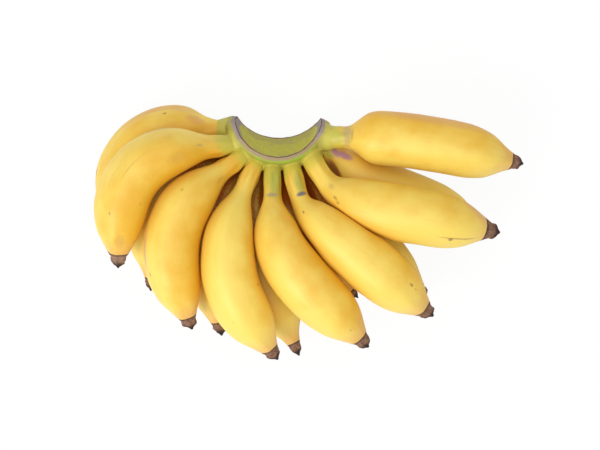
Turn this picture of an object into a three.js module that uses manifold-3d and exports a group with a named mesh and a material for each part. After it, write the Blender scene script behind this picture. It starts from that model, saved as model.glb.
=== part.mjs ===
// A cut hand of baby bananas, lying on a table. Millimetres, +Z up.
//
// The hand is a green crown with fourteen bananas in two staggered rows. The crown is a thick
// crescent round a stalk that has been cut away, so its inner face is a smooth hollow. Every banana
// is a solid swept along its own bent centre line: stem, shoulder, belly and dried flower end.
// Neighbours are pressed flat where they meet, and the lower row is pressed flat on the table.

import * as THREE from 'three';
import { mergeVertices } from 'three/addons/utils/BufferGeometryUtils.js';
import Module from 'manifold-3d';

const DEGREE = Math.PI / 180;

// ---- driving dimensions -------------------------------------------------------------------------

// The stalk that the crown grew round: its axis leans from upright.
const STALK_LEAN = 22; // degrees, the top of the axis leans towards -Y
const CROWN_MIDDLE_HEIGHT = 29; // height above the table of the middle of the crown on that axis
const CUT_RADIUS = 25.8; // radius of the hollow cut face

// The crown's own body, measured round, out from and along the stalk axis.
const CROWN_FROM = -71; // degrees round the axis, 0 faces -Y and +90 faces +X
const CROWN_TO = 70;
const CROWN_DEPTH = 10.5; // thickness outwards from the cut face, at the middle
const CROWN_LENGTH = 35; // length along the stalk axis, at the middle
const HORN_TAPER = 0.4; // below 1 the crown keeps its thickness until near its two ends

// Where stems leave the crown.
const STEM_START_RADIUS = 35; // distance from the stalk axis
const STUB_FLARE = 1; // the crown's stub for one stem is this much wider in radius at its root
const STUB_SPREAD = 0.87; // a stub's root is drawn in to this part of its end's place on the crown
const ROW_OFFSET = 8.5; // each row's distance along the axis from the crown's middle, at the middle
const ROW_OFFSET_AT_HORN = 0.35; // part of it that is left at the crown's two ends
const JOINT_GAP = 0.3; // clearance between a stem and its stub
const STEM_ROOM_LENGTH = 14; // the crown is cleared this far along each stem
const STEM_ROOM_FLARE = 4; // and the cleared room is this much wider at its far end

// A banana's section: nearly round, with soft ridges on the belly.
const RIDGES = 5;
const RIDGE_DEPTH = 0.02; // part of the radius
const RIDGES_RISE = [0.15, 0.3]; // the parts of its length between which they rise
const PRESS_GAP = 0.3; // each banana stays this far from the face it is pressed against

// A banana's shoulder, from its stem's end to its full thickness: part of the shoulder's length, and
// part of the way from the stem's radius to the full one.
const SHOULDER = [[0, 0], [0.12, 0.07], [0.28, 0.34], [0.48, 0.68], [0.72, 0.91], [1, 1]];

// And its flower end: part of the way from the stem's end, and part of the full radius. The last
// three are the dried end itself.
const FLOWER_END = [
  [0, 1], [0.2, 1], [0.4, 1], [0.55, 1], [0.68, 0.97],
  [0.79, 0.82], [0.88, 0.57], [0.95, 0.32], [0.985, 0.22], [1, 0.03],
];

// Each banana, left to right:
//   around   where it leaves the crown, in degrees round the stalk axis
//   heading  the way its stem points, in degrees seen from above: 0 is -Y and +90 is +X
//   turn     how far it turns from there to its flower end, in degrees
//   bend     the parts of its length between which it turns
//   size     its length and its full thickness
//   stem     its stem's length and thickness
//   shoulder the length of its shoulder
//   height   the heights of its middle and of its flower end above the table
//   stagger  the part of its row's distance from the crown's middle that its stem keeps, if not all
const UPPER_ROW = [
  {
    around: -50.5, heading: -84.5, turn: 79.5, bend: [0.125, 0.81],
    size: [107.5, 30.6], stem: [8, 12.5], shoulder: 42, height: [46, 35],
  },
  {
    around: -36, heading: -52, turn: 69, bend: [0.1, 0.85],
    size: [112, 31], stem: [11, 11.5], shoulder: 40, height: [43, 30],
  },
  {
    around: -22, heading: -22, turn: 56, bend: [0.12, 0.85],
    size: [118, 30.5], stem: [15, 10.5], shoulder: 40, height: [44, 32],
  },
  {
    around: -6, heading: 1, turn: 43, bend: [0.08, 0.65],
    size: [118, 32], stem: [14, 10], shoulder: 44, height: [46, 34],
  },
  {
    around: 12, heading: 12.6, turn: 38, bend: [0.06, 0.32],
    size: [117, 31.5], stem: [18, 10.5], shoulder: 36, height: [46, 34],
  },
  {
    around: 32, heading: 28, turn: 51, bend: [0, 0.42],
    size: [116.5, 31.2], stem: [14, 12], shoulder: 34, height: [47, 36],
  },
  {
    around: 59.5, heading: 90, turn: -12.5, bend: [0, 0.7],
    size: [106.5, 30.5], stem: [9, 12.4], shoulder: 18, height: [39, 33],
  },
];
const LOWER_ROW = [
  {
    around: -60, heading: -91.5, turn: 82, bend: [0.135, 0.8],
    size: [103.8, 30], stem: [6, 12], shoulder: 28, height: [14.8, 14],
  },
  {
    around: -45, heading: -64, turn: 60, bend: [0.1, 0.75],
    size: [106, 30], stem: [8, 10], shoulder: 42, height: [14.3, 14],
  },
  {
    around: -30, heading: -31, turn: 40, bend: [0.1, 0.75],
    size: [110, 30], stem: [10, 10], shoulder: 42, height: [14.3, 14],
  },
  {
    around: -14, heading: -10, turn: 35, bend: [0.1, 0.75],
    size: [118, 30], stem: [12, 10], shoulder: 44, height: [14.3, 14],
  },
  {
    around: 4, heading: 3, turn: 42, bend: [0.1, 0.7],
    size: [94, 30], stem: [8, 10], shoulder: 38, height: [14.3, 14],
  },
  {
    around: 23, heading: 25.7, turn: 20, bend: [0.05, 0.5],
    size: [109, 30], stem: [10, 13], shoulder: 42, height: [14.3, 14],
  },
  {
    around: 45, heading: 48.5, turn: 20, bend: [0.05, 0.5],
    size: [106, 31], stem: [8, 14], shoulder: 26, height: [14.8, 15],
    stagger: 0.3,
  },
];

// Mesh fineness.
const CURVE_STEPS = 200; // steps along a shape curve
const SPINE_STEPS = 60; // steps along a centre line
const RINGS = 17; // rings of skin along a banana
const RING_CROWDING = 0.035; // how far its rings move towards the two ends, part of the length
const SIDES = 18; // points round each ring
const PRESS_STEPS = 12; // halvings that find a pressed face
const CROWN_RINGS = 17; // sections along the crown
const CROWN_SIDES = 16; // points round each section
const STUB_SIDES = 10;
const STEM_ROOM_SIDES = 14;
const STALK_SIDES = 48; // round the hollow's whole circle
const SAME_POINT = 1e-4; // points nearer than this are one

// ---- the stalk's frame --------------------------------------------------------------------------

const UP = new THREE.Vector3(0, 0, 1);

const stalkFrame = new THREE.Matrix4()
  .makeTranslation(0, 0, CROWN_MIDDLE_HEIGHT)
  .multiply(new THREE.Matrix4().makeRotationX(STALK_LEAN * DEGREE));

// A point given round, out from and along the stalk axis.
function aroundStalk(degrees, radius, along) {
  const angle = degrees * DEGREE;
  const point = new THREE.Vector3(radius * Math.sin(angle), -radius * Math.cos(angle), along);
  return point.applyMatrix4(stalkFrame);
}

// The crown is lens-shaped: 1 at its middle, falling to 0 at a horn at each side.
function crownFullness(degrees) {
  const middle = (CROWN_FROM + CROWN_TO) / 2;
  const reach = (degrees - middle) / ((CROWN_TO - CROWN_FROM) / 2);
  return Math.sqrt(Math.max(1 - reach * reach, 0));
}

// A row's distance along the axis: it draws in near the horns.
function rowAlong(degrees, rowOffset) {
  return rowOffset * (ROW_OFFSET_AT_HORN + (1 - ROW_OFFSET_AT_HORN) * crownFullness(degrees));
}

// ---- centre lines and radii ---------------------------------------------------------------------

// Eases from 0 to 1 between two values.
function ease(value, from, to) {
  const t = THREE.MathUtils.clamp((value - from) / (to - from), 0, 1);
  return t * t * (3 - 2 * t);
}

// A smooth curve through given points, for reading heights from.
function makeCurve(points) {
  const places = points.map(([at, height]) => new THREE.Vector3(at, height, 0));
  return new THREE.CatmullRomCurve3(places, false, 'centripetal').getPoints(CURVE_STEPS);
}

// A curve's height at a place along it.
function heightOf(curve, at) {
  let next = 1;
  while (next < curve.length - 1 && curve[next].x < at) next += 1;
  const before = curve[next - 1];
  const after = curve[next];
  return before.y + (after.y - before.y) * ((at - before.x) / (after.x - before.x));
}

const shoulderCurve = makeCurve(SHOULDER);
const flowerEndCurve = makeCurve(FLOWER_END);

// A banana's radius at a part of its whole length.
function radiusAt({ size: [length, girth], stem: [stem, stemGirth], shoulder }, part) {
  const pastStem = Math.max(part * length - stem, 0);
  const filled = heightOf(shoulderCurve, Math.min(pastStem / shoulder, 1));
  const full = (stemGirth + (girth - stemGirth) * filled) / 2;
  return full * heightOf(flowerEndCurve, pastStem / (length - stem));
}

// A banana's centre line: it starts at its place on the crown, turns as seen from above, and rises
// and falls on the curve through its start, its middle and its flower end.
function makeBanana(name, shape, rowOffset) {
  const along = rowAlong(shape.around, rowOffset) * (shape.stagger ?? 1);
  const start = aroundStalk(shape.around, STEM_START_RADIUS + JOINT_GAP, along);
  const step = shape.size[0] / SPINE_STEPS;
  const [middleHeight, endHeight] = shape.height;
  const spine = [];
  const at = start.clone();
  for (let i = 0; i <= SPINE_STEPS; i += 1) {
    const part = i / SPINE_STEPS;
    const height = start.z * (1 - part) * (1 - 2 * part) + middleHeight * 4 * part * (1 - part)
      + endHeight * part * (2 * part - 1);
    spine.push({ centre: new THREE.Vector3(at.x, at.y, height), radius: radiusAt(shape, part) });
    const heading = (shape.heading + shape.turn * ease(part, ...shape.bend)) * DEGREE;
    at.x += Math.sin(heading) * step;
    at.y -= Math.cos(heading) * step;
  }
  return { name, shape, along, spine };
}

// Centre, direction and radius at a part of a banana's length.
function spineAt(banana, part) {
  const place = part * SPINE_STEPS;
  const index = Math.min(Math.floor(place), SPINE_STEPS - 1);
  const { spine } = banana;
  const centre = spine[index].centre.clone().lerp(spine[index + 1].centre, place - index);
  const back = spine[Math.max(index - 1, 0)].centre;
  const ahead = spine[Math.min(index + 2, SPINE_STEPS)].centre;
  const along = ahead.clone().sub(back).normalize();
  return { centre, along, radius: radiusAt(banana.shape, part) };
}

// ---- pressing -----------------------------------------------------------------------------------

const segment = new THREE.Line3();
const nearest = new THREE.Vector3();

// A point's distance from a banana's centre line, as a part of the banana's radius there.
function closeness(point, banana) {
  let best = Infinity;
  for (let i = 0; i < SPINE_STEPS; i += 1) {
    const before = banana.spine[i];
    const after = banana.spine[i + 1];
    segment.set(before.centre, after.centre);
    const t = segment.closestPointToPointParameter(point, true);
    const radius = before.radius + (after.radius - before.radius) * t;
    segment.at(t, nearest);
    best = Math.min(best, nearest.distanceTo(point) / radius);
  }
  return best;
}

// How far from the centre line the skin lies in one direction. Two bananas that would overlap meet
// on the face where both are equally far inside, and each stays a small gap short of it.
function pressedDistance(centre, outwards, distance, radius, neighbours) {
  const point = new THREE.Vector3();
  const pastFace = (reach, neighbour) => {
    point.copy(centre).addScaledVector(outwards, reach);
    return closeness(point, neighbour) < reach / radius;
  };
  let reach = distance;
  for (const neighbour of neighbours) {
    if (!pastFace(reach, neighbour)) continue;
    let inside = 0;
    for (let i = 0; i < PRESS_STEPS; i += 1) {
      const middle = (inside + reach) / 2;
      if (pastFace(middle, neighbour)) reach = middle;
      else inside = middle;
    }
  }
  return reach < distance ? reach - PRESS_GAP : distance;
}

// ---- bananas ------------------------------------------------------------------------------------

// Where a ring of skin lies, as a part of the length: two on the stem, then closer together at both
// ends of the belly, and the last two at the edges of the dried flower end.
function ringPart(shape, ring) {
  const { size: [length], stem: [stem] } = shape;
  const [[bellyEnd], [flowerEnd]] = FLOWER_END.slice(-3);
  const fromStem = (part) => (stem + (length - stem) * part) / length;
  if (ring < 2) return (fromStem(0) * ring) / 2;
  if (ring === RINGS - 1) return fromStem(flowerEnd);
  const even = (ring - 2) / (RINGS - 4);
  return fromStem(bellyEnd * (even - RING_CROWDING * Math.sin(2 * Math.PI * even)));
}

// Triangles of a closed skin: rings of points, then a point at each end.
function skinIndices(rings, sides) {
  const indices = [];
  const first = rings * sides;
  for (let i = 0; i < sides; i += 1) {
    const next = (i + 1) % sides;
    indices.push(first, i, next);
    indices.push(first + 1, (rings - 1) * sides + next, (rings - 1) * sides + i);
    for (let ring = 0; ring < rings - 1; ring += 1) {
      const a = ring * sides + i;
      const b = ring * sides + next;
      indices.push(a, a + sides, b, b, a + sides, b + sides);
    }
  }
  return indices;
}

function skinGeometry(points, rings, sides) {
  const geometry = new THREE.BufferGeometry().setFromPoints(points);
  geometry.setIndex(skinIndices(rings, sides));
  geometry.computeVertexNormals();
  return geometry;
}

function bananaGeometry(banana, bananas) {
  const neighbours = bananas.filter((other) => other !== banana);
  const points = [];
  for (let ring = 0; ring < RINGS; ring += 1) {
    const part = ringPart(banana.shape, ring);
    const { centre, along, radius } = spineAt(banana, part);
    const side = along.clone().cross(UP).normalize();
    const over = side.clone().cross(along);
    const ridgeDepth = RIDGE_DEPTH * ease(part, ...RIDGES_RISE);
    for (let i = 0; i < SIDES; i += 1) {
      const angle = (i / SIDES) * 2 * Math.PI;
      const outwards = side.clone().multiplyScalar(Math.cos(angle)).addScaledVector(over, Math.sin(angle));
      const distance = radius * (1 + ridgeDepth * Math.cos(RIDGES * angle));
      const pressed = pressedDistance(centre, outwards, distance, radius, neighbours);
      const point = centre.clone().addScaledVector(outwards, pressed);
      point.z = Math.max(point.z, 0);
      points.push(point);
    }
  }
  points.push(spineAt(banana, 0).centre, spineAt(banana, 1).centre);
  return skinGeometry(points, RINGS, SIDES);
}

// ---- crown --------------------------------------------------------------------------------------

const wasm = await Module();
wasm.setup();

function toSolid(geometry) {
  const bare = geometry.clone();
  bare.deleteAttribute('normal');
  bare.deleteAttribute('uv');
  const merged = mergeVertices(bare, SAME_POINT);
  return new wasm.Manifold(new wasm.Mesh({
    numProp: 3,
    vertProperties: new Float32Array(merged.attributes.position.array),
    triVerts: new Uint32Array(merged.index.array),
  }));
}

function toGeometry(solid) {
  const mesh = solid.getMesh();
  const geometry = new THREE.BufferGeometry();
  geometry.setAttribute('position', new THREE.Float32BufferAttribute(mesh.vertProperties, 3));
  geometry.setIndex(Array.from(mesh.triVerts));
  geometry.computeVertexNormals();
  return geometry;
}

// Turns and moves an upright cylinder so that its middle and its axis lie as given.
function place(cylinder, middle, direction) {
  const turn = new THREE.Quaternion().setFromUnitVectors(new THREE.Vector3(0, 1, 0), direction);
  return cylinder.applyQuaternion(turn).translate(middle.x, middle.y, middle.z);
}

// The cushion: an oval section swept round the stalk, drawn in to a horn at each side. Half of the
// oval lies inside the hollow and is cut away.
function cushionGeometry() {
  const middle = (CROWN_FROM + CROWN_TO) / 2;
  const points = [];
  for (let ring = 1; ring <= CROWN_RINGS; ring += 1) {
    const turn = (Math.PI * ring) / (CROWN_RINGS + 1);
    const degrees = middle - ((CROWN_TO - CROWN_FROM) / 2) * Math.cos(turn);
    const fullness = crownFullness(degrees);
    for (let i = 0; i < CROWN_SIDES; i += 1) {
      const angle = (i / CROWN_SIDES) * 2 * Math.PI;
      const out = CROWN_DEPTH * Math.cos(angle) * fullness ** HORN_TAPER;
      const along = (CROWN_LENGTH / 2) * Math.sin(angle) * fullness;
      points.push(aroundStalk(degrees, CUT_RADIUS + out, along));
    }
  }
  points.push(aroundStalk(CROWN_FROM, CUT_RADIUS, 0), aroundStalk(CROWN_TO, CUT_RADIUS, 0));
  return skinGeometry(points, CROWN_RINGS, CROWN_SIDES);
}

// The stub of one stem, from inside the cushion out to where the stem starts.
function stubGeometry({ shape: { around, stem: [, girth] }, along }) {
  const root = aroundStalk(around * STUB_SPREAD, CUT_RADIUS, along * STUB_SPREAD);
  const end = aroundStalk(around, STEM_START_RADIUS, along);
  const length = root.distanceTo(end);
  const stub = new THREE.CylinderGeometry(girth / 2, girth / 2 + STUB_FLARE, length, STUB_SIDES);
  return place(stub, root.clone().lerp(end, 0.5), end.clone().sub(root).normalize());
}

// The room that a banana's stem takes, with its clearance: it widens away from the crown.
function stemRoomGeometry(banana) {
  const { centre, along, radius } = spineAt(banana, 0);
  const room = new THREE.CylinderGeometry(
    radius + STEM_ROOM_FLARE, radius + 2 * JOINT_GAP, STEM_ROOM_LENGTH, STEM_ROOM_SIDES,
  );
  return place(room, centre.clone().addScaledVector(along, STEM_ROOM_LENGTH / 2 - JOINT_GAP), along);
}

// A cylinder round the stalk axis, longer than the crown.
function stalkCylinder(radius) {
  const cylinder = new THREE.CylinderGeometry(radius, radius, CROWN_LENGTH * 3, STALK_SIDES);
  return toSolid(cylinder.rotateX(Math.PI / 2).applyMatrix4(stalkFrame));
}

function crownGeometry(bananas) {
  let solid = toSolid(cushionGeometry());
  for (const banana of bananas) solid = solid.add(toSolid(stubGeometry(banana)));
  solid = solid.intersect(stalkCylinder(STEM_START_RADIUS));
  for (const banana of bananas) solid = solid.subtract(toSolid(stemRoomGeometry(banana)));
  return toGeometry(solid.subtract(stalkCylinder(CUT_RADIUS)));
}

// ---- the whole hand -----------------------------------------------------------------------------

const crownMaterial = new THREE.MeshStandardMaterial({ color: '#9db13f', roughness: 0.55, metalness: 0 });
const peelMaterial = new THREE.MeshStandardMaterial({ color: '#f2c94c', roughness: 0.45, metalness: 0 });

const upper = UPPER_ROW.map((shape, i) => makeBanana(`banana_upper_${i + 1}`, shape, ROW_OFFSET));
const lower = LOWER_ROW.map((shape, i) => makeBanana(`banana_lower_${i + 1}`, shape, -ROW_OFFSET));
const bananas = [...upper, ...lower];

const hand = new THREE.Group();
hand.name = 'banana_hand';

const crown = new THREE.Mesh(crownGeometry(bananas), crownMaterial);
crown.name = 'crown';
hand.add(crown);

for (const banana of bananas) {
  const mesh = new THREE.Mesh(bananaGeometry(banana, bananas), peelMaterial);
  mesh.name = banana.name;
  hand.add(mesh);
}

// The origin is the middle of the hand's footprint, on the table.
const box = new THREE.Box3().setFromObject(hand);
hand.position.set(-(box.min.x + box.max.x) / 2, -(box.min.y + box.max.y) / 2, -box.min.z);

export default hand;
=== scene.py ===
"""A cut hand of baby bananas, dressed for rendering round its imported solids.

Metres, +Z up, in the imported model's own frame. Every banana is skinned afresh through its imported
solid's rings of points, with ridges, a ribbed stem and a shrivelled flower end, and the crown is
grown together with the roots of all the stems and cut again round the stalk.
"""

import logging
import math
from collections.abc import Callable
from dataclasses import dataclass, field
from enum import Enum
from functools import partial

import bmesh
import bpy
import numpy as np
from bpy.types import Material, Mesh, Node, NodeSocket, NodeTree, Object
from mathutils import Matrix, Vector
from mathutils.bvhtree import BVHTree
from mathutils.kdtree import KDTree


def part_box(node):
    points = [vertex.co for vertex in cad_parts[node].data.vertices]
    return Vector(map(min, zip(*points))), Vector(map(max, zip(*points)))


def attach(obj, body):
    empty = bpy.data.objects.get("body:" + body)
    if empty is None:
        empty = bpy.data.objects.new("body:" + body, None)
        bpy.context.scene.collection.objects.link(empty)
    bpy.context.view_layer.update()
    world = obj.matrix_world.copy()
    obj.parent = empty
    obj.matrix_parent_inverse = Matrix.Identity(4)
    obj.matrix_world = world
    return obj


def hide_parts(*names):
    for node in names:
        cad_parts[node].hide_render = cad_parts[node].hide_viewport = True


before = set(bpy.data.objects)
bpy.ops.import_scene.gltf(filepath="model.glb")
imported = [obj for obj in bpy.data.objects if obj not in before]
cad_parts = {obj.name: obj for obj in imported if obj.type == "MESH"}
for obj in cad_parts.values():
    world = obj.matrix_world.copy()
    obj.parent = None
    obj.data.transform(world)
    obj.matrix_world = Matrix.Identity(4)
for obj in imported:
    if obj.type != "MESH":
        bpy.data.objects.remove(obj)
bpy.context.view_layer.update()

LOG = logging.getLogger("banana_hand")
Array = np.ndarray

MM = 0.001
TAU = 2 * math.pi
SAME_POINT = 2e-6  # metres: packed points closer than this are one


# ---- small tools --------------------------------------------------------------------------------


def linear(colour: str) -> tuple[float, float, float, float]:
    """Turns an sRGB hex colour, as #rrggbb, into linear red, green, blue and alpha."""
    parts = [int(colour[i : i + 2], 16) / 255 for i in (1, 3, 5)]
    return (*[p / 12.92 if p <= 0.04045 else ((p + 0.055) / 1.055) ** 2.4 for p in parts], 1.0)


def ease(value: Array, low: float, high: float) -> Array:
    """Eases from 0 at low to 1 at high."""
    t = np.clip((np.asarray(value, float) - low) / (high - low), 0, 1)
    return t * t * (3 - 2 * t)


def unit(vectors: Array) -> Array:
    """Scales vectors to length 1."""
    return vectors / np.maximum(np.linalg.norm(vectors, axis=-1, keepdims=True), 1e-12)


def spline(points: Array, steps: int, closed: bool) -> Array:
    """Draws a cubic spline through evenly numbered points.

    Args:
        points: The points it passes through, along the first axis.
        steps: How many steps each span is cut into.
        closed: Whether it runs on from the last point to the first.

    Returns:
        The points along it.
    """
    count = len(points)
    flat = points.reshape(count, -1)
    trend = np.zeros((2, flat.shape[1])) if closed else flat[[0, -1]]
    line = trend[0] + np.linspace(0, 1, count)[:, None] * (trend[1] - trend[0])
    loop = flat if closed else np.concatenate([flat - line, -(flat - line)[-2:0:-1]])
    kernel = (4 + 2 * np.cos(TAU * np.arange(len(loop)) / len(loop))) / 6
    knots = np.real(np.fft.ifft(np.fft.fft(loop, axis=0) / kernel[:, None], axis=0))
    at = np.arange(count * steps if closed else (count - 1) * steps + 1) / steps
    span = np.floor(at).astype(int)
    t = (at - span)[:, None]
    weights = [(1 - t) ** 3, 3 * t**3 - 6 * t**2 + 4, -3 * t**3 + 3 * t**2 + 3 * t + 1, t**3]
    drawn = sum(w * knots[(span + i - 1) % len(loop)] for i, w in enumerate(weights)) / 6
    if not closed:
        drawn = drawn + trend[0] + (at / (count - 1))[:, None] * (trend[1] - trend[0])
    return drawn.reshape(len(at), *points.shape[1:])


def ripple(points: Array, size: float, seed: int, waves: int = 9) -> Array:
    """Gives smooth random bumps, from -1 to 1 or so, that are the same in every run.

    Args:
        points: Where they are wanted, in metres.
        size: The width of a bump, in metres.
        seed: Picks the pattern.
        waves: How many waves it is made of.

    Returns:
        The height at each point.
    """
    random = np.random.default_rng(seed)
    ways = unit(random.normal(size=(waves, 3))) * random.uniform(0.6, 1.4, (waves, 1))
    phases = random.uniform(0, TAU, waves)
    return np.sin(points @ (ways * TAU / (2 * size)).T + phases).sum(-1) / math.sqrt(waves / 2) / 2


def mesh_points(mesh: Mesh) -> Array:
    """Reads a mesh's points.

    Args:
        mesh: The mesh.

    Returns:
        The points in metres.
    """
    points = np.zeros(len(mesh.vertices) * 3)
    mesh.vertices.foreach_get("co", points)
    return points.reshape(-1, 3)


def packed_mesh(node: str) -> tuple[Array, Array]:
    """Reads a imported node's points, each once, and its triangles.

    Args:
        node: The node's name.

    Returns:
        The points in metres and the triangles' point numbers.
    """
    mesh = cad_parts[node].data
    mesh.calc_loop_triangles()
    triangles = np.zeros(len(mesh.loop_triangles) * 3, int)
    mesh.loop_triangles.foreach_get("vertices", triangles)
    points = mesh_points(mesh)
    places = np.round(points / SAME_POINT)
    _, first, same = np.unique(places, axis=0, return_index=True, return_inverse=True)
    return points[first], same.reshape(-1)[triangles].reshape(-1, 3)


def make_object(name: str, points: Array, faces: list | Array) -> Object:
    """Makes a smooth-shaded mesh object in the scene.

    Args:
        name: The object's name.
        points: Its points in metres.
        faces: The point numbers of each face.

    Returns:
        The object.
    """
    mesh = bpy.data.meshes.new(name)
    mesh.from_pydata(np.asarray(points).tolist(), [], [list(map(int, face)) for face in faces])
    mesh.polygons.foreach_set("use_smooth", [True] * len(mesh.polygons))
    mesh.update()
    made = bpy.data.objects.new(name, mesh)
    bpy.context.scene.collection.objects.link(made)
    return made


def keep_largest(mesh: Mesh) -> None:
    """Deletes every loose shell of a mesh but the largest, such as a bubble sealed inside it.

    Args:
        mesh: The mesh.
    """
    shape = bmesh.new()
    shape.from_mesh(mesh)
    left, shells = set(shape.verts), []
    while left:
        shell, reached = [], [left.pop()]
        while reached:
            point = reached.pop()
            shell.append(point)
            near = {edge.other_vert(point) for edge in point.link_edges} & left
            left -= near
            reached.extend(near)
        shells.append(shell)
    shells.sort(key=len)
    small = [point for shell in shells[:-1] for point in shell]
    bmesh.ops.delete(shape, geom=small, context="VERTS")
    shape.to_mesh(mesh)
    shape.free()


def paint(piece: Object, name: str, values: Array) -> None:
    """Stores a number, a vector or a colour at each point for the materials to read.

    Args:
        piece: The mesh object.
        name: The attribute's name.
        values: One row for each point.
    """
    kinds = {1: ("FLOAT", "value"), 3: ("FLOAT_VECTOR", "vector"), 4: ("FLOAT_COLOR", "color")}
    width = 1 if values.ndim == 1 else values.shape[1]
    kind, key = kinds[width]
    layer = piece.data.attributes.new(name, kind, "POINT")
    layer.data.foreach_set(key, np.ascontiguousarray(values, np.float32).ravel())


def grid_faces(rows: int, sides: int) -> list[tuple[int, ...]]:
    """Joins rows of points into a closed skin, with a point of its own at each end.

    Args:
        rows: How many rows there are.
        sides: How many points each has.

    Returns:
        The faces. The end points are numbered after all the rows.
    """
    faces = []
    first, last = rows * sides, rows * sides + 1
    for i in range(sides):
        j = (i + 1) % sides
        faces.append((first, i, j))
        faces.append((last, (rows - 1) * sides + j, (rows - 1) * sides + i))
        for row in range(rows - 1):
            a, b = row * sides + i, row * sides + j
            faces.append((a, a + sides, b + sides, b))
    return faces


# ---- node materials -----------------------------------------------------------------------------

SOFT = {"interpolation_type": "SMOOTHSTEP"}  # for a Map Range node that eases between two values
COLOURS = {"data_type": "RGBA"}  # for a Mix node: its amount is input 0, its colours are 6 and 7
ADDED = {"operation": "MULTIPLY_ADD"}  # for a Math node: input 0 times input 1, added to input 2
TIMES = {"operation": "MULTIPLY"}
GREATER = {"operation": "MAXIMUM"}


def add_node(tree: NodeTree, kind: str, inputs: dict | None = None, **settings: object) -> Node:
    """Adds a node with its settings and links.

    Args:
        tree: The nodes it joins.
        kind: Its type, without the word Shader.
        inputs: For each input, by name or number, a value, or the socket or node that feeds it.
        settings: The node's own properties.

    Returns:
        The node.
    """
    node = tree.nodes.new("Shader" + kind)
    for name, value in settings.items():
        setattr(node, name, value)
    for socket, value in (inputs or {}).items():
        if isinstance(value, Node):
            value = next(output for output in value.outputs if output.enabled)
        if isinstance(value, NodeSocket):
            tree.links.new(value, node.inputs[socket])
        else:
            node.inputs[socket].default_value = value
    return node


def start_material(name: str) -> tuple[Material, Callable[..., Node]]:
    """Starts an empty material.

    Args:
        name: The material's name.

    Returns:
        The material, and add_node for its nodes.
    """
    material = bpy.data.materials.new(name)
    material.use_nodes = True
    material.node_tree.nodes.clear()
    return material, partial(add_node, material.node_tree)


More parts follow.
